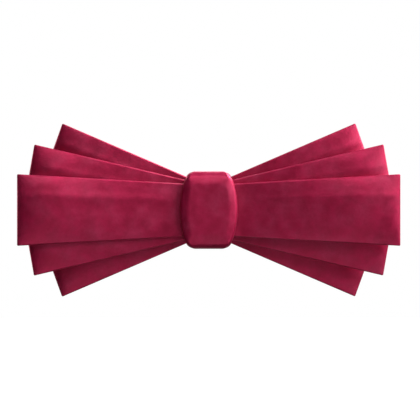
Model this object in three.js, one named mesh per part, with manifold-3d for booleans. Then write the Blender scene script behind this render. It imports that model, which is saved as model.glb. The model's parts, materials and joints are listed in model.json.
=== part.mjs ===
// A clip-on dress bow tie, in millimetres: five crossing loops of ribbon, a padded knot and a clip.
// +X is to the right of someone facing the tie, +Z is up, and the front faces -Y.
// The origin is in the middle of the flat back of the knot, which is the plane y = 0.

import * as THREE from "three";
import { mergeVertices } from "three/addons/utils/BufferGeometryUtils.js";
import Module from "manifold-3d";

const wasm = await Module();
wasm.setup();

const { degToRad, lerp, smoothstep } = THREE.MathUtils;

// ---- Driving dimensions ----

const GAP = 0.3; // between pieces that lie against each other

// The ribbon loops, at the size of the front bow
const TIE_WIDTH = 130;
const RIBBON_HALF_HEIGHT = 8.35; // in the middle of the knot
const RIBBON_FLARE = degToRad(3.25); // of each long edge, away from the knot
const FOLD_LENGTH = 12; // the front of a loop rounds over along this, up to its end
const FOLD_BACK_LENGTH = 3; // and its back along this
const FOLD_BACK_DEPTH = 1.1; // from a loop's back to its furthest point
const FABRIC = 0.4;
const INTERLINING = 0.3;
const LINING_CLEARANCE = 0.1;
const LINING_MARGIN = 1; // from the interlining's long edges to the fabric's

// Front to back. Size is a share of the front bow's, and tilt is in degrees.
const BOWS = [
  { name: "front", size: 1, tilt: 0 },
  { name: "middle_rising", size: 0.96, tilt: 10 },
  { name: "middle_falling", size: 0.96, tilt: -10 },
  { name: "back_rising", size: 0.88, tilt: 20 },
  { name: "back_falling", size: 0.88, tilt: -20 },
];

// How the stack of loops opens out from the knot
const KNOT_PITCH = 1.95; // from one loop to the next inside the knot
const LOOP_SHARE = 0.92; // of the pitch that a loop fills
const WING_FULL = 58; // from here outwards the stack is at its deepest
const FRONT_RISE = { start: 8.5, ease: 4, flatten: 44, by: 6 }; // of the stack's front, forwards
const BACK_RISE = { start: 30, ease: 8, flatten: 50, by: 2.6 }; // of its back, backwards

// The knot
const KNOT_HALF_WIDTH = 9.65;
const KNOT_HALF_HEIGHT = 13.2;
const KNOT_SIDE_RADIUS = 31.8; // of the barrel's bulging sides
const KNOT_CORNER = 1.7; // the barrel's corners are cut back over this height
const KNOT_CORNER_INSET = 0.98;
const WRAP = 0.8; // thickness of the wrap's folded cloth
const WRAP_FRONT_ROUND = 3.2;
const WRAP_BACK_ROUND = 1.8;
const WRAP_INNER_END = 2; // the height at which the wrap's covered end stops
const WRAP_OUTER_END = -7; // and the height of its sewn end
const PADDING = 1.75;
const THREAD = 0.5;
const BINDING_TURNS = 4;
const BINDING_HALF_WIDTH = 1.8;

// The collar clip
const PLATE_HALF_LENGTH = 30;
const PLATE_HALF_HEIGHT = 5;
const STEEL = 0.6;
const HINGE_X = 18;
const PIVOT_HEIGHT = 2.4; // of the hinge axis behind the plate
const PIN_RADIUS = 0.6;
const PIN_HOLE_RADIUS = 0.8;
const PIN_HEAD_RADIUS = 1.1;
const PIN_HEAD = 0.5;
const EAR_RADIUS = 1.6;
const JAW_HALF_HEIGHT = 3.7;
const JAW_REACH = 11;
const JAW_TIP_Y = 0.4; // behind the hinge axis
const JAW_TEETH = 5;
const TOOTH_DEPTH = 0.9;
const TAB_START = 1.5;
const TAB_LENGTH = 6.6;
const TAB_ANGLE = degToRad(30);
const SPRING_WIRE = 0.5;
const SPRING_RADIUS = 1.1; // of the coil's centreline round the pin
const SPRING_TURNS = 4;
const SPRING_PITCH = 0.75;
const SPRING_LEG = 5;

// ---- Depths that follow from them, from the back of the knot forwards ----

const INNER_LAYER_BACK = -WRAP - GAP;
const PLATE_BACK = INNER_LAYER_BACK - WRAP - GAP;
const PLATE_FRONT = PLATE_BACK - STEEL;
const STACK_BACK = PLATE_FRONT - GAP - THREAD - GAP;
const STACK_FRONT = STACK_BACK - BOWS.length * KNOT_PITCH;
const PADDING_BACK = STACK_FRONT - GAP - THREAD - GAP;
const KNOT_FRONT = PADDING_BACK - PADDING - GAP - WRAP;
const PIVOT_Y = PLATE_BACK + PIVOT_HEIGHT;

// ---- Materials ----

const cloth = new THREE.MeshStandardMaterial({ color: 0x85263e, roughness: 0.6 });
const lining = new THREE.MeshStandardMaterial({ color: 0xd8d2c6, roughness: 0.9 });
const wadding = new THREE.MeshStandardMaterial({ color: 0xefeae0, roughness: 1 });
const thread = new THREE.MeshStandardMaterial({ color: 0x6b1a30, roughness: 0.8 });
const nickel = new THREE.MeshStandardMaterial({ color: 0xc4c2bd, roughness: 0.3, metalness: 1 });
const springSteel = new THREE.MeshStandardMaterial({ color: 0x8d8f94, roughness: 0.35, metalness: 1 });

// ---- Joins and cuts ----

/** The solid of a closed geometry. */
function solid(geometry) {
  const bare = geometry.index ? geometry.toNonIndexed() : geometry.clone();
  bare.deleteAttribute("normal");
  bare.deleteAttribute("uv");
  const merged = mergeVertices(bare, 1e-4);
  return new wasm.Manifold(
    new wasm.Mesh({
      numProp: 3,
      vertProperties: Float32Array.from(merged.attributes.position.array),
      triVerts: Uint32Array.from(merged.index.array),
    }),
  );
}

/** A geometry of a solid. */
function geometryOf(body) {
  const { vertProperties, triVerts } = body.getMesh();
  return indexedGeometry(vertProperties, triVerts);
}

function indexedGeometry(positions, triangles) {
  const geometry = new THREE.BufferGeometry();
  geometry.setAttribute("position", new THREE.BufferAttribute(Float32Array.from(positions), 3));
  geometry.setIndex(Array.from(triangles));
  geometry.computeVertexNormals();
  return geometry;
}

/** One geometry that joins several closed ones. */
function joined(geometries) {
  return geometryOf(geometries.map(solid).reduce((sum, next) => sum.add(next)));
}

// ---- Shared shapes ----

/** A round wire along a curve. */
function wire(curve, diameter, steps, sides = 8) {
  const section = new THREE.Shape().absarc(0, 0, diameter / 2, 0, 2 * Math.PI);
  return new THREE.ExtrudeGeometry(section, {
    steps,
    curveSegments: sides / 2,
    bevelEnabled: false,
    extrudePath: curve,
  });
}

/** A flat outline drawn in X and Z, as deep as from one y to another further back. */
function slabAlongY(shape, front, back, options = {}) {
  const geometry = new THREE.ExtrudeGeometry(shape, {
    depth: back - front,
    bevelEnabled: false,
    curveSegments: 12,
    ...options,
  });
  return geometry.rotateX(Math.PI / 2).translate(0, back, 0);
}

/** An outline drawn in X and Y, standing from one height to another. */
function slabAlongZ(shape, bottom, top) {
  const geometry = new THREE.ExtrudeGeometry(shape, {
    depth: top - bottom,
    bevelEnabled: false,
    curveSegments: 16,
  });
  return geometry.translate(0, 0, bottom);
}

/** The outline of a strip of even thickness whose middle follows a line of 2-D points. */
function stripShape(points, thickness) {
  const sides = [thickness / 2, -thickness / 2].map((offset) =>
    points.map((point, i) => {
      const before = points[Math.max(i - 1, 0)];
      const after = points[Math.min(i + 1, points.length - 1)];
      const along = new THREE.Vector2().subVectors(after, before).normalize();
      return new THREE.Vector2(point.x - along.y * offset, point.y + along.x * offset);
    }),
  );
  return new THREE.Shape([...sides[0], ...sides[1].reverse()]);
}

// ---- The ribbon loops ----

/** How far a straight slope that eases in over a length has climbed. */
function easedSlope(run, ease) {
  if (run <= 0) return 0;
  return run < ease ? run ** 2 / (2 * ease) : run - ease / 2;
}

/** A rise that eases in, climbs evenly and flattens out where the wings are full. */
function riseAt(x, { start, ease, flatten, by }) {
  const climbed = (at) => easedSlope(at - start, ease) - easedSlope(at - flatten, WING_FULL - flatten);
  return (by * climbed(Math.min(Math.abs(x), WING_FULL))) / climbed(WING_FULL);
}

/** The y of the back of the stack of loops, at a distance from the middle of the tie. */
function stackBackAt(x) {
  return STACK_BACK + riseAt(x, BACK_RISE);
}

/** The distance from one loop to the next there. */
function pitchAt(x) {
  return (stackBackAt(x) - STACK_FRONT + riseAt(x, FRONT_RISE)) / BOWS.length;
}

/** How far a fold is short of the loop's end, at an angle round it from -90 degrees at its front. */
function shortOfEnd(fold, inset) {
  const length = fold < 0 ? FOLD_LENGTH : FOLD_BACK_LENGTH;
  return length - (length - inset) * Math.cos(fold);
}

/** How far forward of the loop's back a fold is, at an angle round it. */
function forwardOfBack(fold, loopDepth, inset) {
  const reach = fold < 0 ? loopDepth - FOLD_BACK_DEPTH : FOLD_BACK_DEPTH;
  return FOLD_BACK_DEPTH - (reach - inset) * Math.sin(fold);
}

/**
 * A closed band of cloth: a loop that runs across the tie and back, with a rounded fold at each end.
 * Its outer side lies `inset` inside the room that the loop at this place in the stack has.
 */
function bandGeometry(bow, place, { inset, thickness, margin, rows }) {
  const halfLength = bow.size * (TIE_WIDTH / 2);
  const tilt = degToRad(bow.tilt);
  const stations = loopStations();

  function point({ side, along, fold }, across, depth) {
    const s = side * along * (halfLength - shortOfEnd(fold, depth));
    const halfHeight = bow.size * RIBBON_HALF_HEIGHT + Math.abs(s) * Math.tan(RIBBON_FLARE) - margin;
    const v = across * halfHeight;
    const x = s * Math.cos(tilt) - v * Math.sin(tilt);
    const z = s * Math.sin(tilt) + v * Math.cos(tilt);
    const pitch = pitchAt(x);
    const back = stackBackAt(x) - pitch * (BOWS.length - 0.5 - place - LOOP_SHARE / 2);
    const crown = (pitch - KNOT_PITCH) * LOOP_SHARE * across * across * Math.max(0, -Math.sin(fold));
    return [x, back - forwardOfBack(fold, pitch * LOOP_SHARE, depth) + crown, z];
  }

  const positions = [];
  for (const depth of [inset, inset + thickness]) {
    for (const station of stations) {
      for (let row = 0; row <= rows; row += 1) {
        positions.push(...point(station, (2 * row) / rows - 1, depth));
      }
    }
  }
  return indexedGeometry(positions, bandTriangles(stations.length, rows));
}

/**
 * The places round a loop. Each has the side it is on, how far along its ply it is from the middle to
 * where the fold starts, and the angle round the fold: -90 degrees is the front and 90 the back.
 */
function loopStations() {
  const plySteps = 15;
  const foldSteps = 6;
  const outwards = [];
  for (let i = 0; i < plySteps; i += 1) {
    outwards.push({ along: i / plySteps, fold: -Math.PI / 2 });
  }
  for (let i = 0; i < 2 * foldSteps; i += 1) {
    outwards.push({ along: 1, fold: (-Math.PI / 2) * (1 - i / foldSteps) });
  }
  for (let i = 0; i < plySteps; i += 1) {
    outwards.push({ along: 1 - i / plySteps, fold: Math.PI / 2 });
  }
  const right = outwards.map((station) => ({ side: 1, ...station }));
  const back = { side: 1, along: 0, fold: Math.PI / 2 };
  const left = [...outwards.slice(1), back].reverse().map((station) => ({ ...station, side: -1 }));
  return [...right, ...left];
}

/** The triangles of a ring of stations, each with rows + 1 points outside and as many inside. */
function bandTriangles(stationCount, rows) {
  const points = rows + 1;
  const innerStart = stationCount * points;
  const triangles = [];
  const quad = (a, b, c, d) => triangles.push(a, b, c, a, c, d);
  for (let i = 0; i < stationCount; i += 1) {
    const here = i * points;
    const next = ((i + 1) % stationCount) * points;
    for (let row = 0; row < rows; row += 1) {
      quad(here + row, next + row, next + row + 1, here + row + 1);
      const inner = innerStart + here + row;
      const innerNext = innerStart + next + row;
      quad(inner, inner + 1, innerNext + 1, innerNext);
    }
    quad(next, here, innerStart + here, innerStart + next);
    quad(here + rows, next + rows, innerStart + next + rows, innerStart + here + rows);
  }
  return triangles;
}

function bowFabric(bow, place) {
  return bandGeometry(bow, place, { inset: 0, thickness: FABRIC, margin: 0, rows: 4 });
}

function bowInterlining(bow, place) {
  const inset = FABRIC + LINING_CLEARANCE;
  return bandGeometry(bow, place, { inset, thickness: INTERLINING, margin: LINING_MARGIN, rows: 2 });
}

// ---- The knot ----

/** Half the knot's width at a height. */
function knotHalfWidth(z) {
  const height = Math.abs(z);
  const bulge = KNOT_SIDE_RADIUS - Math.sqrt(KNOT_SIDE_RADIUS ** 2 - height ** 2);
  const corner = smoothstep(height, KNOT_HALF_HEIGHT - KNOT_CORNER, KNOT_HALF_HEIGHT);
  return KNOT_HALF_WIDTH - bulge - KNOT_CORNER_INSET * corner;
}

/** The knot's barrel outline in X and Z, narrowed at the sides and kept within a half-height. */
function barrelShape(halfHeight, narrowed = 0) {
  const steps = 24;
  const side = [];
  for (let i = 0; i <= steps; i += 1) {
    const z = halfHeight * Math.sin(degToRad(180 * (i / steps - 0.5)));
    side.push(new THREE.Vector2(knotHalfWidth(z) - narrowed, z));
  }
  const otherSide = side.map(({ x, y }) => new THREE.Vector2(-x, y)).reverse();
  return new THREE.Shape([...side, ...otherSide]);
}

/** The middle line of the wrap, in Y and Z: once round the knot, its ends overlapping at the back. */
function wrapLine() {
  const half = WRAP / 2;
  const top = KNOT_HALF_HEIGHT - half;
  const front = KNOT_FRONT + half;
  const inner = INNER_LAYER_BACK - half;
  const frontRound = WRAP_FRONT_ROUND - half;
  const backRound = WRAP_BACK_ROUND - half;
  const line = new THREE.Path();
  line.moveTo(inner, WRAP_INNER_END);
  line.lineTo(inner, backRound - top);
  line.absarc(inner - backRound, backRound - top, backRound, 0, -Math.PI / 2, true);
  line.lineTo(front + frontRound, -top);
  line.absarc(front + frontRound, frontRound - top, frontRound, -Math.PI / 2, -Math.PI, true);
  line.lineTo(front, top - frontRound);
  line.absarc(front + frontRound, top - frontRound, frontRound, Math.PI, Math.PI / 2, true);
  line.lineTo(-half - backRound, top);
  line.absarc(-half - backRound, top - backRound, backRound, Math.PI / 2, 0, true);
  line.lineTo(-half, WRAP_OUTER_END);
  return line.getPoints(8);
}

function knotWrap() {
  const ribbon = new THREE.ExtrudeGeometry(stripShape(wrapLine(), WRAP), {
    depth: 2 * KNOT_HALF_WIDTH,
    bevelEnabled: false,
  });
  // The strip is drawn in Y and Z and extruded along X.
  const axes = new THREE.Matrix4().makeBasis(
    new THREE.Vector3(0, 1, 0),
    new THREE.Vector3(0, 0, 1),
    new THREE.Vector3(1, 0, 0),
  );
  ribbon.applyMatrix4(axes).translate(-KNOT_HALF_WIDTH, 0, 0);
  const margin = 1;
  const barrel = slabAlongY(barrelShape(KNOT_HALF_HEIGHT), KNOT_FRONT - margin, margin);
  return geometryOf(solid(ribbon).intersect(solid(barrel)));
}

function knotPadding() {
  const bevel = 0.7;
  const halfHeight = KNOT_HALF_HEIGHT - WRAP_FRONT_ROUND;
  const front = PADDING_BACK - PADDING + bevel;
  return slabAlongY(barrelShape(halfHeight, 2 * bevel), front, PADDING_BACK - bevel, {
    bevelEnabled: true,
    bevelThickness: bevel,
    bevelSize: bevel,
    bevelSegments: 3,
  });
}

/** Turns of thread round the middle of the stack of loops. */
function bindingThread() {
  const clearance = GAP + THREAD / 2;
  const corner = 0.8;
  const halfHeight = RIBBON_HALF_HEIGHT + clearance;
  const middle = (STACK_BACK + STACK_FRONT) / 2;
  const halfDepth = (STACK_BACK - STACK_FRONT) / 2 + clearance;
  const turn = roundedRectanglePoints(halfDepth, halfHeight, corner);
  const points = [];
  const count = turn.length * BINDING_TURNS;
  for (let i = 0; i < count; i += 1) {
    const x = lerp(-BINDING_HALF_WIDTH, BINDING_HALF_WIDTH, i / (count - 1));
    const { x: depth, y: z } = turn[i % turn.length];
    points.push(new THREE.Vector3(x, middle + depth, z));
  }
  return wire(new THREE.CatmullRomCurve3(points, false, "centripetal"), THREAD, 2 * count, 6);
}

/** Points once round a rounded rectangle, without the first one repeated. */
function roundedRectanglePoints(halfWidth, halfHeight, corner) {
  const outline = new THREE.Path();
  outline.absarc(halfWidth - corner, halfHeight - corner, corner, 0, Math.PI / 2);
  outline.absarc(corner - halfWidth, halfHeight - corner, corner, Math.PI / 2, Math.PI);
  outline.absarc(corner - halfWidth, corner - halfHeight, corner, Math.PI, 1.5 * Math.PI);
  outline.absarc(halfWidth - corner, corner - halfHeight, corner, 1.5 * Math.PI, 2 * Math.PI);
  return outline.getPoints(3).slice(0, -1);
}

/** A wavy line of thread under the wrap's sewn end, in the step that the end makes. */
function seamThread() {
  const wave = 0.2;
  const waveLength = 2.4;
  const y = INNER_LAYER_BACK + GAP + THREAD / 2;
  const z = WRAP_OUTER_END - GAP - THREAD / 2 - wave;
  const end = knotHalfWidth(z) - 1;
  const points = [];
  for (let x = -end; x <= end; x += waveLength / 6) {
    points.push(new THREE.Vector3(x, y, z + wave * Math.sin((2 * Math.PI * x) / waveLength)));
  }
  return wire(new THREE.CatmullRomCurve3(points), THREAD, points.length * 2, 6);
}

// ---- The collar clip ----

/** A disc with a straight foot, standing on the line y = foot and pierced for a hinge pin. */
function earShape(radius, foot) {
  const ear = new THREE.Shape();
  ear.moveTo(-radius, foot);
  ear.lineTo(radius, foot);
  ear.lineTo(radius, 0);
  ear.absarc(0, 0, radius, 0, Math.PI);
  ear.closePath();
  ear.holes.push(new THREE.Path().absarc(0, 0, PIN_HOLE_RADIUS, 0, 2 * Math.PI, true));
  return ear;
}

function roundedRectangle(halfWidth, halfHeight, corner) {
  return new THREE.Shape(roundedRectanglePoints(halfWidth, halfHeight, corner));
}

/** The plate, with four ears bent back to hold the hinge pins. */
function clipPlate() {
  const corner = 2;
  const outline = roundedRectangle(PLATE_HALF_LENGTH, PLATE_HALF_HEIGHT, corner);
  const parts = [slabAlongY(outline, PLATE_FRONT, PLATE_BACK)];
  const foot = PLATE_BACK - PIVOT_Y - STEEL / 2;
  for (const x of [-HINGE_X, HINGE_X]) {
    for (const bottom of [-PLATE_HALF_HEIGHT, PLATE_HALF_HEIGHT - STEEL]) {
      const ear = slabAlongZ(earShape(EAR_RADIUS, foot), bottom, bottom + STEEL);
      parts.push(ear.translate(x, PIVOT_Y, 0));
    }
  }
  return joined(parts);
}

/** A comb of teeth as wide as a jaw, standing on its points at y = 0. */
function toothShape(height) {
  const shape = new THREE.Shape();
  shape.moveTo(-JAW_HALF_HEIGHT, height);
  const pitch = (2 * JAW_HALF_HEIGHT) / JAW_TEETH;
  for (let i = 0; i < JAW_TEETH; i += 1) {
    const start = i * pitch - JAW_HALF_HEIGHT;
    shape.lineTo(start, TOOTH_DEPTH);
    shape.lineTo(start + pitch / 2, 0);
  }
  shape.lineTo(JAW_HALF_HEIGHT, TOOTH_DEPTH);
  shape.lineTo(JAW_HALF_HEIGHT, height);
  return shape;
}

/** The row of teeth under a jaw's tip, with its points just clear of the plate. */
function jawTeeth() {
  const height = JAW_TIP_Y + PIVOT_HEIGHT - GAP;
  const teeth = new THREE.ExtrudeGeometry(toothShape(height), { depth: STEEL, bevelEnabled: false });
  // The teeth are drawn in Z and Y and extruded against X.
  const axes = new THREE.Matrix4().makeBasis(
    new THREE.Vector3(0, 0, 1),
    new THREE.Vector3(0, 1, 0),
    new THREE.Vector3(-1, 0, 0),
  );
  return teeth.applyMatrix4(axes).translate(JAW_REACH + STEEL / 2, GAP - PIVOT_HEIGHT, 0);
}

/** A jaw whose tip points along +X, with its hinge axis along Z at the origin. */
function clipJaw() {
  const ridge = EAR_RADIUS + STEEL / 2;
  const line = [
    [-TAB_START - TAB_LENGTH * Math.cos(TAB_ANGLE), ridge + TAB_LENGTH * Math.sin(TAB_ANGLE)],
    [-TAB_START, ridge],
    [2 * EAR_RADIUS, ridge],
    [JAW_REACH, JAW_TIP_Y],
  ].map(([x, y]) => new THREE.Vector2(x, y));
  const lever = slabAlongZ(stripShape(line, STEEL), -JAW_HALF_HEIGHT, JAW_HALF_HEIGHT);
  const walls = [-JAW_HALF_HEIGHT, JAW_HALF_HEIGHT - STEEL].map((bottom) =>
    slabAlongZ(earShape(EAR_RADIUS, -ridge), bottom, bottom + STEEL).rotateZ(Math.PI),
  );
  return joined([lever, jawTeeth(), ...walls]);
}

/** A headed pin along Z, through the ears and the jaw. */
function hingePin() {
  const end = PLATE_HALF_HEIGHT + GAP + PIN_HEAD;
  const neck = end - PIN_HEAD;
  const profile = [
    [0, -end],
    [PIN_HEAD_RADIUS, -end],
    [PIN_HEAD_RADIUS, -neck],
    [PIN_RADIUS, -neck],
    [PIN_RADIUS, neck],
    [PIN_HEAD_RADIUS, neck],
    [PIN_HEAD_RADIUS, end],
    [0, end],
  ].map(([radius, height]) => new THREE.Vector2(radius, height));
  return new THREE.LatheGeometry(profile, 20).rotateX(Math.PI / 2);
}

/** A torsion spring round the pin: one leg lies on the plate and the other under the jaw's finger tab. */
function jawSpring() {
  const rise = SPRING_PITCH * (SPRING_TURNS + 0.5);
  const steps = 12 * (SPRING_TURNS + 0.5);
  const points = [new THREE.Vector3(-SPRING_LEG, GAP + SPRING_WIRE / 2 - PIVOT_HEIGHT, -rise / 2)];
  for (let i = 0; i <= steps; i += 1) {
    const angle = -Math.PI / 2 + (i / 12) * 2 * Math.PI;
    const z = lerp(-rise / 2, rise / 2, i / steps);
    points.push(new THREE.Vector3(SPRING_RADIUS * Math.cos(angle), SPRING_RADIUS * Math.sin(angle), z));
  }
  const tabUnderside = EAR_RADIUS + (SPRING_LEG - TAB_START) * Math.tan(TAB_ANGLE);
  points.push(new THREE.Vector3(-TAB_START, SPRING_RADIUS, rise / 2));
  points.push(new THREE.Vector3(-SPRING_LEG, tabUnderside - GAP - SPRING_WIRE, rise / 2));
  return wire(new THREE.CatmullRomCurve3(points, false, "centripetal"), SPRING_WIRE, 2 * points.length);
}

// ---- The tie ----

const tie = new THREE.Group();

function addPiece(parent, name, geometry, material) {
  const piece = new THREE.Mesh(geometry, material.clone());
  piece.name = name;
  parent.add(piece);
}

/** One end of the clip's moving pieces, turned to its side of the tie. */
function addClipEnd(side, turn) {
  const end = new THREE.Group();
  end.rotation.y = turn;
  const hinge = new THREE.Group();
  hinge.position.set(HINGE_X, PIVOT_Y, 0);
  addPiece(hinge, `clip_jaw_${side}`, clipJaw(), nickel);
  addPiece(hinge, `hinge_pin_${side}`, hingePin(), nickel);
  addPiece(hinge, `jaw_spring_${side}`, jawSpring(), springSteel);
  end.add(hinge);
  tie.add(end);
}

BOWS.forEach((bow, place) => {
  addPiece(tie, `${bow.name}_bow`, bowFabric(bow, place), cloth);
  addPiece(tie, `${bow.name}_interlining`, bowInterlining(bow, place), lining);
});
addPiece(tie, "knot_wrap", knotWrap(), cloth);
addPiece(tie, "knot_padding", knotPadding(), wadding);
addPiece(tie, "binding_thread", bindingThread(), thread);
addPiece(tie, "wrap_seam_thread", seamThread(), thread);
addPiece(tie, "clip_plate", clipPlate(), nickel);
addClipEnd("right", 0);
addClipEnd("left", Math.PI);

export default tie;
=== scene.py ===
"""A layered clip-on bow tie: cloth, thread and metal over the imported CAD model.

Metres, +Z up, front to -Y.
"""

import json
import math

import bmesh
import bpy
import numpy as np
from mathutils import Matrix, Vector

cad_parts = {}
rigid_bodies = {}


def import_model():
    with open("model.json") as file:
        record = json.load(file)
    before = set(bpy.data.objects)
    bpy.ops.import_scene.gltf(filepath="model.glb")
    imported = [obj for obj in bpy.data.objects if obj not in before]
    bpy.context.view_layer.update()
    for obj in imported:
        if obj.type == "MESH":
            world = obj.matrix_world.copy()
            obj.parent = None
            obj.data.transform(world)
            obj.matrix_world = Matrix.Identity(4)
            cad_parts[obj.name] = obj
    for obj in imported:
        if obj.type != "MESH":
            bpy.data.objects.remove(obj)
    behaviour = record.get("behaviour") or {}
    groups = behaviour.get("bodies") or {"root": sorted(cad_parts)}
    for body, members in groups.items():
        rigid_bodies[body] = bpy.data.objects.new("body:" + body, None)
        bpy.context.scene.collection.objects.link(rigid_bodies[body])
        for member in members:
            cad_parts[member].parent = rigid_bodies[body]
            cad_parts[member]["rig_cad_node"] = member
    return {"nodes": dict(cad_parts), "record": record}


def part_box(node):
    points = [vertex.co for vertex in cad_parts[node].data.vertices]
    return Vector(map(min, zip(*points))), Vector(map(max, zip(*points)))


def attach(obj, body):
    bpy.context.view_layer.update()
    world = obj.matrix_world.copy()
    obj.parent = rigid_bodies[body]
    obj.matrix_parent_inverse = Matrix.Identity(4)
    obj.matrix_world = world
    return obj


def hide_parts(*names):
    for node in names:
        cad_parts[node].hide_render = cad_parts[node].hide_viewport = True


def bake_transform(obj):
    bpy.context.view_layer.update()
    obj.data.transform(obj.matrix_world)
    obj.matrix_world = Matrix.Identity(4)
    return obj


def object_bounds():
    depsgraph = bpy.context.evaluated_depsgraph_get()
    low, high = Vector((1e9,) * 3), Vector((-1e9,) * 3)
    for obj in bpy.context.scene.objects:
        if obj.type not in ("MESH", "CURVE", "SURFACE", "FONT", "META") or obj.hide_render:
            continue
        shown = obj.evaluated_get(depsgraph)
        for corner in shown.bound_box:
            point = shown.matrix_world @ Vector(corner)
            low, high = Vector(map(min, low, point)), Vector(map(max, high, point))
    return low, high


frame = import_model()
cad_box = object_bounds()

MM = 0.001

# ---- Driving dimensions of the ribbon loops ----

# Front to back: the loop's size as a share of the front one's, and its tilt.
BOWS = {
    "front": (1.0, 0.0),
    "middle_rising": (0.96, math.radians(10)),
    "middle_falling": (0.96, math.radians(-10)),
    "back_rising": (0.88, math.radians(20)),
    "back_falling": (0.88, math.radians(-20)),
}
RIBBON_HALF = 8.35 * MM  # half the front ribbon's height in the middle of the knot
FLARE = math.tan(math.radians(3.25))  # of each long edge
FOLD = 12 * MM  # the front of a loop rounds over along this, up to its end
FOLD_BACK = 3 * MM  # and its back along this
FOLD_BACK_DEPTH = 1.1 * MM  # from a loop's back to its furthest point
FABRIC = 0.28 * MM
LINING = 0.25 * MM
PLY_GAP = 0.04 * MM  # between a cloth and the lining it covers
HEM = 3 * MM  # the cloth turned in behind each long edge
CROWN_POWER = 2.6  # how squarely a loop's front is crowned across the ribbon
# A soft crease runs along the front of each loop: its height and width as shares of the half-height.
CREASE_AT = 0.4
CREASE_WIDTH = 0.14
CREASE_DEPTH = 0.18 * MM
# The cloth's slow unevenness: its depth, and its waves in radians to the metre along X and Z.
HAND_DEPTH = 0.1 * MM
HAND_WAVES = (145, 120)
HAND_SLANT = (61, -210)
HAND_SLANT_SHARE = 0.6
HAND_PHASES = (0.7, -0.4, 1.9)

# How the stack opens out from the knot, as in the CAD model: each of its two sides starts to rise,
# eases in, climbs evenly, and flattens out by the place where the wings are full.
LOOP_SHARE = 0.92
WING_START = 8.5 * MM
WING_FULL = 58 * MM
FRONT_RISE = {"start": WING_START, "ease": 4 * MM, "flatten": 44 * MM, "by": 6 * MM}
BACK_RISE = {"start": 30 * MM, "ease": 8 * MM, "flatten": 50 * MM, "by": 2.6 * MM}
THREAD = 0.5 * MM  # its thickness
GAP = 0.3 * MM  # between pieces that lie one on another

# How many steps the grids of the loops have: along a ply, round half a fold, and across the cloth.
PLY_STEPS = 40
FOLD_STEPS = 14
FACE_STEPS = 22
TURN_STEPS = 7
HEM_STEPS = 3
LINING_STEPS = 8

# ---- Driving dimensions of the knot ----

KNOT_SIDE_RADIUS = 31.8 * MM  # of the barrel's bulging sides
KNOT_CORNER = 1.7 * MM  # the barrel's corners are cut back over this height
KNOT_CORNER_INSET = 0.98 * MM
WRAP = 0.8 * MM  # the room that one layer of the wrap has
WRAP_CLOTH = 0.36 * MM
WRAP_FRONT_ROUND = 3.2 * MM
WRAP_BACK_ROUND = 1.8 * MM
WRAP_INNER_END = 2 * MM
WRAP_OUTER_END = -7 * MM
WRAP_TURN = 0.22 * MM  # of the cloth turned in at each side
WRAP_HEM = 2.4 * MM
WRAP_END_FROM = 0.985  # past this share of its length the wrap is turned under its sewn end
# How far the wrap's sides round over, across the knot and into it, where it faces forwards and where
# it faces up or down.
FRONT_EDGE = (1.5 * MM, 1.5 * MM)
TOP_EDGE = (1.2 * MM, 0.8 * MM)
# How finely the wrap's grid is divided: along it, round its corners, and across it.
WRAP_STEP = 0.9 * MM
ARC_STEPS = 8
WRAP_FACE_STEPS = 12
WRAP_EDGE_STEPS = 8
WRAP_TURN_STEPS = 4
STITCHES = 9
STITCH_RADIUS = 0.13 * MM
# One slip stitch, point by point: its lean as a share of the pitch, the face its depth is measured
# from, how far it stands out of that face, and its height above the wrap's sewn end.
STITCH = (
    (-0.25, "under", -0.35 * MM, -0.5 * MM),
    (-0.25, "under", 0.25 * MM, -0.5 * MM),
    (0, "outer", 0, -0.15 * MM),
    (0.25, "outer", 0.14 * MM, 0.55 * MM),
    (0.25, "outer", -0.25 * MM, 0.8 * MM),
)
BINDING_TURNS = 4
BINDING_STEPS = 48  # to the turn
BINDING_SQUARENESS = 1.36  # 1 would wind it on an ellipse
PAD_CUTS = 3
PAD_SOFTENING = 2  # levels of subdivision
PAD_SHARE = Vector((0.9, 1, 0.82))  # of its room, so that it doesn't show at the wrap's sides
SIMULATED_SCALE = 40  # cloth behaves best on a piece about a metre across
SIMULATED_FRAMES = 20
SIMULATED_PRESSURE = 6
STRETCH_STIFFNESS = 12
BENDING_STIFFNESS = 0.8
PUFF = 0.35 * MM  # the furthest that the padding pushes the wrap's face out

# ---- Driving dimensions of the collar clip ----

PIVOT_HEIGHT = 2.4 * MM  # of a hinge's axis behind the plate
TAB_START = 1.5 * MM
SPRING_WIRE_RADIUS = 0.25 * MM
SPRING_COIL = 1.1 * MM  # the radius of its middle line round the pin
SPRING_TURNS = 4.5
SPRING_STEPS = 20  # to the turn
SPRING_PITCH = 0.75 * MM
SPRING_LEG = 5 * MM
SPRING_LEG_TOP = 2.8 * MM

# ---- The studio ----

SOFT_BOX = (0.42, 0.42)
WIDE_BOX = (1.1, 0.8)
SQUARE_BOX = (0.8, 0.8)
LIGHT_DISTANCE = 0.9
# Azimuth and elevation in degrees, size in metres and power in watts. Azimuth 0 is straight in front
# of the tie and 90 on the right of the picture.
LIGHTS = {
    "key_box": (35, 25, SOFT_BOX, 2.35),
    "right_box": (62, 10, SOFT_BOX, 1.3),
    "top_box": (-5, 42, SOFT_BOX, 1.6),
    "high_right_box": (90, 52, SOFT_BOX, 19),
    "low_right_fill": (40, -35, SOFT_BOX, 1.1),
    "low_left_fill": (-15, -38, SOFT_BOX, 0.7),
    "front_fill": (0, -10, SOFT_BOX, 0.33),
    "right_rim": (100, 26, SOFT_BOX, 5),
    "back_box": (160, 22, WIDE_BOX, 9),
    "back_left_fill": (235, 10, SQUARE_BOX, 5),
    "low_back_fill": (180, -45, WIDE_BOX, 0.8),
}
FLOOR_DROP = 30 * MM  # below the tie
FLOOR_HALF = 0.9
CAMERA_DISTANCE = 1.5
CAMERA_RIGHT = 0.44 * MM
SENSOR_WIDTH = 36
PICTURE_WIDTH = 420
TIE_IN_PICTURE = 384  # columns that the tie fills

# ---- Places taken from the frame ----

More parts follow.
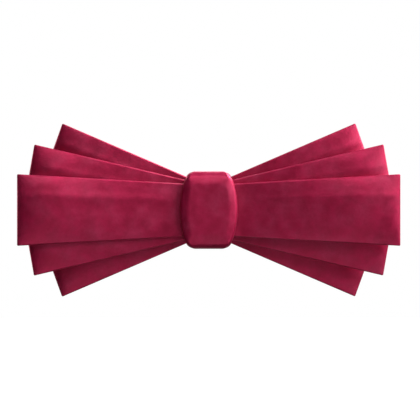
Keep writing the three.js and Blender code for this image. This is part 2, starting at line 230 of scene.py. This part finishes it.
tie_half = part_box("front_bow")[1].x
thread_low, thread_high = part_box("binding_thread")
knot_low, knot_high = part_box("knot_wrap")
stack_back = thread_high.y - THREAD - GAP
stack_front = thread_low.y + THREAD + GAP
knot_pitch = (stack_back - stack_front) / len(BOWS)


# ---- Mesh helpers ----


def new_object(name, data):
    """An object in the scene."""
    made = bpy.data.objects.new(name, data)
    bpy.context.scene.collection.objects.link(made)
    return made


def grid_faces(rows, columns, closed=False):
    """Quads between rows of points, the last row joined to the first if it is closed."""
    faces = []
    for i in range(rows if closed else rows - 1):
        here = i * columns
        there = (i + 1) % rows * columns
        for j in range(columns - 1):
            faces.append((here + j, there + j, there + j + 1, here + j + 1))
    return faces


def grid_piece(name, points, lengths, widths, closed=False):
    """A mesh of a rows x columns x 3 array of points. Its UV map is the cloth laid flat, in metres."""
    rows, columns = points.shape[:2]
    faces = grid_faces(rows, columns, closed)
    mesh = bpy.data.meshes.new(name)
    mesh.from_pydata(points.reshape(-1, 3).tolist(), [], faces)
    uv = mesh.uv_layers.new(name="cloth")
    for polygon in mesh.polygons:
        last = polygon.index >= (rows - 1) * (columns - 1)
        for corner, loop in enumerate(polygon.loop_indices):
            vertex = mesh.loops[loop].vertex_index
            row, column = divmod(vertex, columns)
            far_side = last and corner in (1, 2)  # of the faces that close the loop
            uv.data[loop].uv = (lengths[-1] if far_side else lengths[row], widths[column])
    mesh.shade_smooth()
    return new_object(name, mesh)


def thicken(piece, thickness):
    """Gives a sheet its thickness, half on each side."""
    solid = piece.modifiers.new("thickness", "SOLIDIFY")
    solid.thickness = thickness
    solid.offset = 0
    return piece


def apply_modifiers(piece):
    """Bakes a piece's modifiers into its mesh."""
    evaluated = piece.evaluated_get(bpy.context.evaluated_depsgraph_get())
    mesh = bpy.data.meshes.new_from_object(evaluated)
    piece.modifiers.clear()
    piece.data = mesh


def soften(piece, levels):
    """Rounds a piece off by subdividing it."""
    rounding = piece.modifiers.new("soft", "SUBSURF")
    rounding.levels = levels
    rounding.render_levels = levels


def vertex_places(piece):
    """Where a piece's vertices are, one to a row."""
    return np.array([vertex.co for vertex in piece.data.vertices])


def wire_piece(name, strands, radius):
    """Round thread or wire along one or more lists of points, which it rounds off."""
    curve = bpy.data.curves.new(name, "CURVE")
    curve.dimensions = "3D"
    curve.bevel_depth = radius
    curve.bevel_resolution = 3
    curve.use_fill_caps = True
    for points in strands:
        spline = curve.splines.new("NURBS")
        spline.points.add(len(points) - 1)
        for point, place in zip(spline.points, points):
            point.co = (*place, 1)
        spline.use_endpoint_u = True
        spline.order_u = 3
        spline.resolution_u = 4
    drawn = new_object(name, curve)
    graph = bpy.context.evaluated_depsgraph_get()
    mesh = bpy.data.meshes.new_from_object(drawn.evaluated_get(graph))
    bpy.data.objects.remove(drawn)
    return new_object(name, mesh)


def smoothstep(x, start, end):
    """Goes from 0 at the start to 1 at the end, level at both."""
    t = np.clip((x - start) / (end - start), 0, 1)
    return t * t * (3 - 2 * t)


# ---- The ribbon loops ----


def eased_slope(run, ease):
    """How far a straight slope that eases in over a length has climbed."""
    eased = np.clip(run, 0, ease)
    return eased**2 / (2 * ease) + np.maximum(run - ease, 0)


def rise_at(x, start, ease, flatten, by):
    """How far one side of the stack has risen, at a distance from the middle."""

    def climbed(at):
        return eased_slope(at - start, ease) - eased_slope(at - flatten, WING_FULL - flatten)

    return by * climbed(np.minimum(np.abs(x), WING_FULL)) / climbed(WING_FULL)


def stack_back_at(x):
    """The depth of the back of the whole stack."""
    return stack_back + rise_at(x, **BACK_RISE)


def pitch_at(x):
    """The distance from one loop to the next."""
    return (stack_back_at(x) - stack_front + rise_at(x, **FRONT_RISE)) / len(BOWS)


def hand_of_cloth(x, z):
    """A slow unevenness in depth that all the loops share, so that they never cross each other."""
    away = smoothstep(np.abs(x), WING_START, 2 * WING_START)
    waves = np.sin(x * HAND_WAVES[0] + HAND_PHASES[0]) * np.cos(z * HAND_WAVES[1] + HAND_PHASES[1])
    slanting = np.sin(x * HAND_SLANT[0] + z * HAND_SLANT[1] + HAND_PHASES[2])
    return HAND_DEPTH * away * (waves + HAND_SLANT_SHARE * slanting)


def loop_stations():
    """The places round a loop, as columns.

    They are the side of the middle, the share of the way from the middle to where the fold starts, and
    the angle round the fold, from -90 degrees at the front to 90 at the back.
    """
    quarter = math.pi / 2
    outwards = [(1, i / PLY_STEPS, -quarter) for i in range(PLY_STEPS)]
    outwards += [(1, 1, -quarter + quarter * i / FOLD_STEPS) for i in range(2 * FOLD_STEPS)]
    outwards += [(1, 1 - i / PLY_STEPS, quarter) for i in range(PLY_STEPS)]
    left = [(-1, along, fold) for _, along, fold in reversed(outwards[1:] + [(1, 0, quarter)])]
    return np.array(outwards + left)


def folded(fold, depth, at_front, at_back):
    """Goes from one value at a loop's front to another at its back, less the depth inside the loop."""
    return np.where(fold < 0, at_front, at_back) - depth


def loop_points(name, stations, profile):
    """The points of a loop. A profile point is (share of the half-height, distance past it, depth)."""
    size, tilt = BOWS[name]
    side, along, fold = (column[:, None] for column in stations.T)
    share, past, depth = (column[None, :] for column in profile.T)
    fold_length = np.where(fold < 0, FOLD, FOLD_BACK)
    short = fold_length - folded(fold, depth, FOLD, FOLD_BACK) * np.cos(fold)
    out = side * along * (size * tie_half - short)
    half = size * RIBBON_HALF + np.abs(out) * FLARE
    up = share * (half - turn_radius()) + past
    x = out * math.cos(tilt) - up * math.sin(tilt)
    z = out * math.sin(tilt) + up * math.cos(tilt)
    y = loop_depth_at(name, x, out, up / half, fold, depth)
    return np.stack([x, y + hand_of_cloth(x, z), z], axis=-1)


def loop_depth_at(name, x, out, across, fold, depth):
    """Where a loop's points lie from front to back: by its place in the stack, fold, crown and crease."""
    place = list(BOWS).index(name)
    pitch = pitch_at(x)
    loop_depth = pitch * LOOP_SHARE
    reach = folded(fold, depth, loop_depth - FOLD_BACK_DEPTH, FOLD_BACK_DEPTH)
    back = stack_back_at(x) - pitch * (len(BOWS) - 0.5 - place) + loop_depth / 2
    crown = (pitch - knot_pitch) * LOOP_SHARE * np.abs(across) ** CROWN_POWER
    relief = crown - crease(across) * smoothstep(np.abs(out), WING_START, 3 * WING_START)
    return back - FOLD_BACK_DEPTH + reach * np.sin(fold) + relief * np.maximum(0, -np.sin(fold))


def crease(across):
    """How far the soft crease stands out, across the ribbon from -1 at the bottom to 1 at the top."""
    return CREASE_DEPTH * np.exp(-(((across - CREASE_AT) / CREASE_WIDTH) ** 2))


def turn_radius():
    """Of the cloth's middle layer where it turns in round the lining's edge."""
    return (FABRIC + LINING) / 2 + PLY_GAP


def mirrored(half, signs):
    """A profile all the way across, from its half on the right and each value's sign on the left."""
    other = [[sign * value for sign, value in zip(signs, point)] for point in reversed(half[1:])]
    return np.array(other + [list(point) for point in half])


def cloth_profile():
    """Across the cloth: hem, turned edge, face, turned edge, hem."""
    radius = turn_radius()
    top = FABRIC / 2
    half = [(math.sin(math.pi / 2 * i / FACE_STEPS), 0, top) for i in range(FACE_STEPS + 1)]
    half += [
        (1, radius * math.sin(a), top + radius * (1 - math.cos(a)))
        for a in np.linspace(0, math.pi, TURN_STEPS + 1)[1:]
    ]
    half += [(1, -HEM * i / HEM_STEPS, top + 2 * radius) for i in range(1, HEM_STEPS + 1)]
    return mirrored(half, (-1, -1, 1))


def lining_profile():
    """Straight across the lining."""
    depth = FABRIC + PLY_GAP + LINING / 2
    return np.array([(share, 0, depth) for share in np.linspace(-1, 1, LINING_STEPS + 1)])


def flat_lengths(points, axis):
    """How far along a grid its points lie, down its middle column (axis 0) or along one row."""
    middle = points[:, points.shape[1] // 2] if axis == 0 else points[points.shape[0] // 4]
    steps = np.linalg.norm(np.diff(middle, axis=0), axis=1)
    return np.concatenate([[0], np.cumsum(steps)])


def make_bow(name):
    """A loop of cloth with its lining."""
    stations = loop_stations()
    for kind, slot, profile, thickness in (
        ("bow", "crimson_cloth", cloth_profile(), FABRIC),
        ("interlining", "interlining_cloth", lining_profile(), LINING),
    ):
        points = loop_points(name, stations, profile)
        lengths = flat_lengths(np.concatenate([points, points[:1]]), 0)
        widths = flat_lengths(points, 1)
        piece = grid_piece(f"{name}_{kind}_cloth", points, lengths, widths, closed=True)
        apply_modifiers(thicken(piece, thickness))
        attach(piece, "bow")
        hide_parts(f"{name}_{kind}")
        dress(piece, slot)


# ---- The knot ----


def knot_half_width(z):
    """Half the barrel's width at a height."""
    height = np.abs(z)
    half_height = knot_high.z
    bulge = KNOT_SIDE_RADIUS - np.sqrt(KNOT_SIDE_RADIUS**2 - height**2)
    into_corner = np.clip((height - half_height) / KNOT_CORNER + 1, 0, 1)
    return knot_high.x - bulge - KNOT_CORNER_INSET * (1 - np.sqrt(1 - into_corner**2))


def arc_points(centre, radius, start, end):
    """Points on an arc in Y and Z with the way out of it at each. Angles are in degrees from +Y."""
    angles = np.radians(np.linspace(start, end, ARC_STEPS + 1))
    ways_out = np.stack([np.cos(angles), np.sin(angles)], axis=1)
    return np.array(centre) + radius * ways_out, ways_out


def line_points(start, end, way_out):
    """Points between the ends of a straight line, with the way out of it at each."""
    count = max(2, round(np.linalg.norm(np.subtract(end, start)) / WRAP_STEP))
    points = np.linspace(start, end, count + 1)[1:-1]
    return points, np.tile(way_out, (len(points), 1))


def wrap_line():
    """The outer face of the wrap in Y and Z, from its covered end once round to its sewn end."""
    top = knot_high.z
    front = knot_low.y
    inner = -WRAP - GAP
    big = WRAP_FRONT_ROUND
    small = WRAP_BACK_ROUND
    tiny = WRAP_CLOTH
    stretches = [
        line_points((inner, WRAP_INNER_END), (inner, small - top), (1, 0)),
        arc_points((inner - small, small - top), small, 0, -90),
        line_points((inner - small, -top), (front + big, -top), (0, -1)),
        arc_points((front + big, big - top), big, -90, -180),
        line_points((front, big - top), (front, top - big), (-1, 0)),
        arc_points((front + big, top - big), big, 180, 90),
        line_points((front + big, top), (-small, top), (0, 1)),
        arc_points((-small, top - small), small, 90, 0),
        line_points((0, top - small), (0, WRAP_OUTER_END + tiny), (1, 0)),
        arc_points((-tiny, WRAP_OUTER_END + tiny), tiny, 0, -90),
    ]
    return tuple(np.concatenate(column) for column in zip(*stretches))


def quarter_turn(steps):
    """The angles of a quarter turn, without its start."""
    return np.linspace(0, math.pi / 2, steps + 1)[1:]


def wrap_profile():
    """Across the wrap: (share of its flat width, rounding across and inwards, turn across and in, hem)."""
    flat = [(share, 0, 0, 0, 0, 0) for share in np.linspace(0, 1, WRAP_FACE_STEPS + 1)]
    edge = [(1, math.sin(a), 1 - math.cos(a), 0, 0, 0) for a in quarter_turn(WRAP_EDGE_STEPS)]
    turned = [(1, 1, 1, math.cos(a) - 1, math.sin(a), 0) for a in quarter_turn(WRAP_TURN_STEPS)]
    hem = [(1, 1, 1, -1, 1, -i / HEM_STEPS) for i in range(1, HEM_STEPS + 1)]
    return mirrored(flat + edge + turned + hem, (-1, -1, 1, -1, 1, -1))


def edge_rounding(ways_out):
    """How far the wrap's sides round over, across and inwards, where it faces each way."""
    forwards = np.maximum(0, -ways_out[:, 0])[:, None]
    backwards = np.maximum(0, ways_out[:, 0])[:, None]
    turn = np.array([WRAP_TURN, WRAP_TURN])
    rounding = np.array(TOP_EDGE) + forwards * (np.array(FRONT_EDGE) - TOP_EDGE)
    return rounding + backwards * (turn - TOP_EDGE)


def wrap_points():
    """The middle layer of the wrap's cloth, row by row along it."""
    line, ways_out = wrap_line()
    share, across, inwards, turn, into, hem = wrap_profile().T
    round_across, round_inwards = edge_rounding(ways_out).T
    half = knot_half_width(line[:, 1])
    x = share * (half - round_across)[:, None] + across * round_across[:, None]
    x = x + turn * WRAP_TURN + hem * WRAP_HEM
    depth = WRAP_CLOTH / 2 + inwards * round_inwards[:, None] + into * WRAP_TURN
    turned_under = np.linspace(0, 1, len(line))[:, None] > WRAP_END_FROM
    depth = np.where(turned_under, np.minimum(depth, WRAP_CLOTH), depth)
    y = line[:, :1] - ways_out[:, :1] * depth
    z = line[:, 1:] - ways_out[:, 1:] * depth
    return np.stack([x, y, z], axis=-1)


def make_wrap():
    """The knot's cover, puffed out over its padding."""
    points = wrap_points()[:, ::-1]  # so that the faces look outwards
    piece = grid_piece("knot_wrap_cloth", points, flat_lengths(points, 0), flat_lengths(points, 1))
    puff_out(piece)
    soften(piece, 1)
    apply_modifiers(thicken(piece, WRAP_CLOTH))
    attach(piece, "bow")
    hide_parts("knot_wrap")
    dress(piece, "crimson_cloth")


def puff_out(piece):
    """Blows the knot's free front face outwards, as its padding does."""
    before = vertex_places(piece)
    firmness = smoothstep(before[:, 1] - knot_low.y, WRAP_CLOTH / 2, FRONT_EDGE[1] / 2)
    moved = blow_out(piece, firmness) - before
    far = np.linalg.norm(moved, axis=1, keepdims=True)
    puffed = before + moved * np.minimum(1, PUFF / np.maximum(far, 1e-9))
    piece.data.vertices.foreach_set("co", puffed.ravel())
    piece.data.update()


def blow_out(piece, firmness):
    """Simulates a piece as cloth under pressure, enlarged and held where it is firm. Gives its points."""
    held = piece.vertex_groups.new(name="held")
    for vertex, weight in zip(piece.data.vertices, firmness):
        held.add([vertex.index], float(weight), "REPLACE")
        vertex.co *= SIMULATED_SCALE
    cloth = piece.modifiers.new("cloth", "CLOTH")
    cloth.settings.vertex_group_mass = "held"
    cloth.settings.use_pressure = True
    cloth.settings.uniform_pressure_force = SIMULATED_PRESSURE
    cloth.settings.tension_stiffness = STRETCH_STIFFNESS
    cloth.settings.compression_stiffness = STRETCH_STIFFNESS
    cloth.settings.bending_stiffness = BENDING_STIFFNESS
    cloth.settings.effector_weights.gravity = 0
    cloth.collision_settings.use_collision = False
    for frame_number in range(1, SIMULATED_FRAMES + 1):
        bpy.context.scene.frame_set(frame_number)
    apply_modifiers(piece)
    bpy.context.scene.frame_set(1)
    piece.vertex_groups.clear()
    return vertex_places(piece) / SIMULATED_SCALE


def make_seam():
    """Slip stitches that close the sewn end of the wrap against the layer under it."""
    low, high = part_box("wrap_seam_thread")
    pitch = (high.x - low.x) / STITCHES
    faces = {"under": low.y + THREAD / 2, "outer": 0}
    strands = []
    for i in range(STITCHES):
        x = low.x + (i + 0.5) * pitch
        strands.append([
            (x + lean * pitch, faces[face] + out, WRAP_OUTER_END + up)
            for lean, face, out, up in STITCH
        ])
    piece = wire_piece("wrap_seam_stitches", strands, STITCH_RADIUS)
    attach(piece, "bow")
    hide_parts("wrap_seam_thread")
    dress(piece, "sewing_thread")


def make_binding():
    """Turns of thread wound tightly round the middle of the loops."""
    low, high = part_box("binding_thread")
    middle = (low + high) / 2
    reach = (high - low) / 2 - Vector((1, 1, 1)) * THREAD / 2
    count = BINDING_TURNS * BINDING_STEPS
    points = []
    for i in range(count + 1):
        angle = 2 * math.pi * i / BINDING_STEPS
        x = reach.x * (2 * i / count - 1)
        y = reach.y * squared(math.cos(angle))
        z = reach.z * squared(math.sin(angle))
        points.append(middle + Vector((x, y, z)))
    piece = wire_piece("binding_thread_turns", [points], THREAD / 2)
    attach(piece, "bow")
    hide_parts("binding_thread")
    dress(piece, "sewing_thread")


def squared(wave):
    """Turns a circle's sine or cosine into that of a rectangle with rounded corners."""
    return math.copysign(min(1, abs(wave) * BINDING_SQUARENESS), wave)


def make_padding():
    """A soft pad that fills the room behind the knot's front."""
    low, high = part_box("knot_padding")
    low.y = knot_low.y + WRAP_CLOTH + GAP
    mesh = bpy.data.meshes.new("knot_pad")
    pad = bmesh.new()
    bmesh.ops.create_cube(pad, size=1)
    bmesh.ops.subdivide_edges(pad, edges=pad.edges, cuts=PAD_CUTS, use_grid_fill=True)
    for vertex in pad.verts:
        place = vertex.co * (high - low) * PAD_SHARE
        narrow = float(knot_half_width(np.array(place.z))) / knot_high.x
        vertex.co = (low + high) / 2 + Vector((place.x * narrow, place.y, place.z))
    pad.to_mesh(mesh)
    pad.free()
    piece = new_object("knot_pad", mesh)
    soften(piece, PAD_SOFTENING)
    apply_modifiers(piece)
    piece.data.shade_smooth()
    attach(piece, "bow")
    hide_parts("knot_padding")
    dress(piece, "wadding")


# ---- The collar clip ----


def spring_points():
    """The line of a jaw spring round a hinge along Z at the origin, with its legs towards -X."""
    rise = SPRING_PITCH * SPRING_TURNS
    count = round(SPRING_STEPS * SPRING_TURNS)
    low_leg = GAP + SPRING_WIRE_RADIUS - PIVOT_HEIGHT
    points = [(-SPRING_LEG, low_leg, -rise / 2), (-SPRING_LEG / 2, low_leg, -rise / 2)]
    for i in range(count + 1):
        angle = 2 * math.pi * i / SPRING_STEPS - math.pi / 2
        z = rise * (i / count - 0.5)
        points.append((SPRING_COIL * math.cos(angle), SPRING_COIL * math.sin(angle), z))
    points.append((-TAB_START, SPRING_COIL, rise / 2))
    points.append((-SPRING_LEG, SPRING_LEG_TOP, rise / 2))
    return points


def make_spring(side, way):
    """A torsion spring, which twists between the plate and the jaw."""
    pin_low, pin_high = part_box(f"hinge_pin_{side}")
    hinge = (pin_low + pin_high) / 2
    # The left end is the right one turned round by half a turn about the tie's upright middle line.
    points = [hinge + Vector((way * x, y, way * z)) for x, y, z in spring_points()]
    piece = wire_piece(f"jaw_spring_{side}_wire", [points], SPRING_WIRE_RADIUS)
    piece.data.shade_smooth()
    start = hinge.copy()
    start.y -= SPRING_COIL
    end = hinge.copy()
    end.y += SPRING_COIL
    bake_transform(piece)
    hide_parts(f"jaw_spring_{side}")
    dress(piece, "spring_steel")


# ---- Materials ----

MATERIALS = {}
# A Mix node's sockets for colours go by number, because their names are shared with its other types.
MIX_FACTOR = 0
MIX_FIRST = 6
MIX_SECOND = 7
MIX_RESULT = 2


def node_tree(name):
    """A new material, its node tree and its Principled shader."""
    material = bpy.data.materials.new(name)
    material.use_nodes = True
    return material, material.node_tree, material.node_tree.nodes["Principled BSDF"]


def noise_node(tree, vector, scale, detail, roughness=0.6):
    """Noise with a number of patches to the metre."""
    texture = tree.nodes.new("ShaderNodeTexNoise")
    texture.inputs["Scale"].default_value = scale
    texture.inputs["Detail"].default_value = detail
    texture.inputs["Roughness"].default_value = roughness
    tree.links.new(vector, texture.inputs["Vector"])
    return texture.outputs["Fac"]


def ramp_node(tree, factor, stops):
    """A colour ramp of two (position, colour) stops."""
    ramp = tree.nodes.new("ShaderNodeValToRGB")
    for element, (position, colour) in zip(ramp.color_ramp.elements, stops):
        element.position = position
        element.color = (*colour, 1)
    tree.links.new(factor, ramp.inputs["Fac"])
    return ramp.outputs["Color"]


def range_node(tree, factor, low, high, between=(0, 1)):
    """Spreads the part of a factor that lies between two values over low to high."""
    mapped = tree.nodes.new("ShaderNodeMapRange")
    mapped.inputs["From Min"].default_value = between[0]
    mapped.inputs["From Max"].default_value = between[1]
    mapped.inputs["To Min"].default_value = low
    mapped.inputs["To Max"].default_value = high
    tree.links.new(factor, mapped.inputs["Value"])
    return mapped.outputs["Result"]


def blend_node(tree, factor, first, second):
    """One colour where the factor is 0 and another where it is 1."""
    mix = tree.nodes.new("ShaderNodeMix")
    mix.data_type = "RGBA"
    tree.links.new(factor, mix.inputs[MIX_FACTOR])
    tree.links.new(first, mix.inputs[MIX_FIRST])
    tree.links.new(second, mix.inputs[MIX_SECOND])
    return mix.outputs[MIX_RESULT]


def bump_node(tree, height, strength, distance, normal=None):
    """The normal of a surface that a height raises, on top of another normal if there is one."""
    bump = tree.nodes.new("ShaderNodeBump")
    bump.inputs["Strength"].default_value = strength
    bump.inputs["Distance"].default_value = distance
    tree.links.new(height, bump.inputs["Height"])
    if normal is not None:
        tree.links.new(normal, bump.inputs["Normal"])
    return bump.outputs["Normal"]


def wave_node(tree, vector, direction, period):
    """Bands of sine waves across one direction. At scale 1 their period is a tenth of pi."""
    wave = tree.nodes.new("ShaderNodeTexWave")
    wave.bands_direction = direction
    wave.inputs["Scale"].default_value = math.pi / (10 * period)
    tree.links.new(vector, wave.inputs["Vector"])
    return wave.outputs["Fac"]


def math_node(tree, operation, a, b):
    """Arithmetic on two values, each a number or a socket."""
    node = tree.nodes.new("ShaderNodeMath")
    node.operation = operation
    for socket, value in zip(node.inputs, (a, b)):
        if isinstance(value, (int, float)):
            socket.default_value = value
        else:
            tree.links.new(value, socket)
    return node.outputs["Value"]


def coordinates(tree, output="Object"):
    return tree.nodes.new("ShaderNodeTexCoord").outputs[output]


def crimson_cloth():
    """A close satin weave with a soft, cloudy face."""
    material, tree, shader = node_tree("crimson_cloth")
    place = coordinates(tree)
    laid_flat = coordinates(tree, "UV")
    clouds = noise_node(tree, place, 230, detail=6, roughness=0.62)
    fibres = noise_node(tree, place, 2600, detail=3)
    veil_patches = noise_node(tree, place, 110, detail=5, roughness=0.65)
    mostly_clouds = math_node(tree, "MULTIPLY", clouds, 0.8)
    some_fibres = math_node(tree, "MULTIPLY", fibres, 0.2)
    mixed = math_node(tree, "ADD", mostly_clouds, some_fibres)
    full = ramp_node(tree, mixed, [(0.36, (0.36, 0.008, 0.05)), (0.64, (0.49, 0.013, 0.074))])
    # Where the cloudy random patches lie, the colour turns greyer and paler: a painted sheen veil, not
    # wear.
    painted_veil_tone = ramp_node(tree, mixed, [(0.36, (0.33, 0.015, 0.057)), (0.64, (0.46, 0.032, 0.095))])
    share = range_node(tree, veil_patches, 0.0, 0.8, (0.42, 0.68))
    tree.links.new(blend_node(tree, share, full, painted_veil_tone), shader.inputs["Base Color"])
    tree.links.new(range_node(tree, clouds, 0.3, 0.42, (0.3, 0.7)), shader.inputs["Roughness"])
    warp = wave_node(tree, laid_flat, "X", 0.24 * MM)
    weft = wave_node(tree, laid_flat, "Y", 0.3 * MM)
    weave = math_node(tree, "MULTIPLY", warp, weft)
    woven = bump_node(tree, weave, 0.25, 0.03 * MM)
    uneven = bump_node(tree, clouds, 0.22, 0.3 * MM, woven)
    tree.links.new(uneven, shader.inputs["Normal"])
    shader.inputs["Metallic"].default_value = 0.45
    shader.inputs["Specular IOR Level"].default_value = 0.3
    shader.inputs["Sheen Weight"].default_value = 0.1
    shader.inputs["Sheen Roughness"].default_value = 0.4
    shader.inputs["Sheen Tint"].default_value = (0.9, 0.25, 0.4, 1)
    return material


def interlining_cloth():
    """A pressed felt of pale fibres."""
    material, tree, shader = node_tree("interlining_cloth")
    place = coordinates(tree)
    fibres = noise_node(tree, place, 1800, detail=8, roughness=0.75)
    colour = ramp_node(tree, fibres, [(0.3, (0.5, 0.46, 0.4)), (0.7, (0.78, 0.75, 0.68))])
    tree.links.new(colour, shader.inputs["Base Color"])
    tree.links.new(bump_node(tree, fibres, 0.6, 0.06 * MM), shader.inputs["Normal"])
    tree.links.new(range_node(tree, fibres, 0.8, 0.98), shader.inputs["Roughness"])
    return material


def wadding():
    """Soft cotton wadding."""
    material, tree, shader = node_tree("wadding")
    place = coordinates(tree)
    tufts = noise_node(tree, place, 700, detail=9, roughness=0.7)
    colour = ramp_node(tree, tufts, [(0.25, (0.66, 0.62, 0.54)), (0.7, (0.86, 0.84, 0.78))])
    tree.links.new(colour, shader.inputs["Base Color"])
    tree.links.new(bump_node(tree, tufts, 0.8, 0.3 * MM), shader.inputs["Normal"])
    shader.inputs["Roughness"].default_value = 0.95
    shader.inputs["Sheen Weight"].default_value = 0.3
    return material


def sewing_thread():
    """Twisted thread, darker than the cloth, with painted shade down the grooves of its twist."""
    material, tree, shader = node_tree("sewing_thread")
    place = coordinates(tree)
    twist = wave_node(tree, place, "DIAGONAL", 0.22 * MM)
    fluff = noise_node(tree, place, 2400, detail=5)
    strands = math_node(tree, "MULTIPLY", twist, fluff)
    # The colour darkens where the twist's bump is low: painted shade in the grooves, mottled by the fluff.
    colour = ramp_node(tree, strands, [(0.0, (0.13, 0.004, 0.018)), (0.7, (0.34, 0.014, 0.06))])
    tree.links.new(colour, shader.inputs["Base Color"])
    tree.links.new(bump_node(tree, twist, 0.7, 0.06 * MM), shader.inputs["Normal"])
    tree.links.new(range_node(tree, fluff, 0.45, 0.7), shader.inputs["Roughness"])
    return material


def brushed_metal(name, dark, light, roughness):
    """Plated or bare steel with fine drawn lines along X."""
    material, tree, shader = node_tree(name)
    place = coordinates(tree)
    stretched = tree.nodes.new("ShaderNodeMapping")
    stretched.inputs["Scale"].default_value = (0.06, 1, 1)
    tree.links.new(place, stretched.inputs["Vector"])
    lines = noise_node(tree, stretched.outputs["Vector"], 5200, detail=4)
    stains = noise_node(tree, place, 320, detail=5)
    colour = ramp_node(tree, stains, [(0.3, dark), (0.65, light)])
    tree.links.new(colour, shader.inputs["Base Color"])
    wear = math_node(tree, "MULTIPLY", lines, stains)
    tree.links.new(range_node(tree, wear, roughness, roughness + 0.2), shader.inputs["Roughness"])
    tree.links.new(bump_node(tree, lines, 0.08, 0.02 * MM), shader.inputs["Normal"])
    shader.inputs["Metallic"].default_value = 1.0
    return material


def nickel_plated_steel():
    return brushed_metal("nickel_plated_steel", (0.62, 0.6, 0.56), (0.7, 0.68, 0.64), 0.26)


def spring_steel():
    return brushed_metal("spring_steel", (0.2, 0.2, 0.22), (0.34, 0.34, 0.37), 0.3)


def dress(piece, slot):
    """Gives a piece one material all over. The makers are named after the record's slots."""
    if slot not in MATERIALS:
        MATERIALS[slot] = MAKERS[slot]()
    piece.data.materials.clear()
    piece.data.materials.append(MATERIALS[slot])


MAKERS = {
    maker.__name__: maker
    for maker in (
        crimson_cloth,
        interlining_cloth,
        wadding,
        sewing_thread,
        nickel_plated_steel,
        spring_steel,
    )
}


def dress_cad_nodes():
    """Every CAD node gets the finish of its slot. The replaced ones are hidden anyway."""
    for part in frame["record"]["subparts"]:
        dress(frame["nodes"][part["node"]], part["material_slot"])


# ---- Floor, lights and camera ----


def area_light(name, azimuth, elevation, size, watts):
    """A soft box aimed at the tie."""
    light = bpy.data.lights.new(name, "AREA")
    light.shape = "RECTANGLE"
    light.size, light.size_y = size
    light.energy = watts
    lamp = new_object(name, light)
    a = math.radians(azimuth)
    e = math.radians(elevation)
    away = Vector((math.sin(a) * math.cos(e), -math.cos(a) * math.cos(e), math.sin(e)))
    lamp.location = away * LIGHT_DISTANCE
    lamp.rotation_mode = "QUATERNION"
    lamp.rotation_quaternion = away.to_track_quat("Z", "Y")


def make_world():
    """White behind everything. It lights no surface, as diffuse and glossy rays don't see it."""
    world = bpy.data.worlds.new("studio")
    world.use_nodes = True
    background = world.node_tree.nodes["Background"]
    background.inputs["Color"].default_value = (1, 1, 1, 1)
    background.inputs["Strength"].default_value = 1.0
    world.cycles_visibility.diffuse = False
    world.cycles_visibility.glossy = False
    bpy.context.scene.world = world


def make_floor():
    """A pale floor that glows a little, and neither shades nor colours the tie."""
    half = FLOOR_HALF
    z = cad_box[0].z - FLOOR_DROP
    corners = [(-half, -half, z), (half, -half, z), (half, half, z), (-half, half, z)]
    mesh = bpy.data.meshes.new("floor")
    mesh.from_pydata(corners, [], [(0, 1, 2, 3)])
    floor = new_object("floor", mesh)
    material, _, shader = node_tree("pale_floor")
    shader.inputs["Base Color"].default_value = (0.85, 0.85, 0.85, 1)
    shader.inputs["Roughness"].default_value = 0.9
    shader.inputs["Emission Color"].default_value = (1, 1, 1, 1)
    shader.inputs["Emission Strength"].default_value = 0.9
    mesh.materials.append(material)
    floor.visible_diffuse = False
    floor.visible_glossy = False
    floor.visible_shadow = False  # the low lights shine up through it


def make_camera():
    """A long lens straight in front, a little to the right of the tie's middle."""
    data = bpy.data.cameras.new("camera")
    camera = new_object("camera", data)
    seen_width = 2 * tie_half * PICTURE_WIDTH / TIE_IN_PICTURE
    data.sensor_width = SENSOR_WIDTH
    data.lens = data.sensor_width * CAMERA_DISTANCE / seen_width
    data.clip_end = 20
    camera.location = (CAMERA_RIGHT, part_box("front_bow")[0].y - CAMERA_DISTANCE, 0)
    camera.rotation_euler = (math.pi / 2, 0, 0)
    bpy.context.scene.camera = camera


# ---- Making it ----

bpy.context.scene.view_settings.view_transform = "Standard"
dress_cad_nodes()
for bow_name in BOWS:
    make_bow(bow_name)
make_wrap()
make_seam()
make_binding()
make_padding()
make_spring("right", 1)
make_spring("left", -1)
make_floor()
make_world()
for light_name, light_settings in LIGHTS.items():
    area_light(light_name, *light_settings)
make_camera()
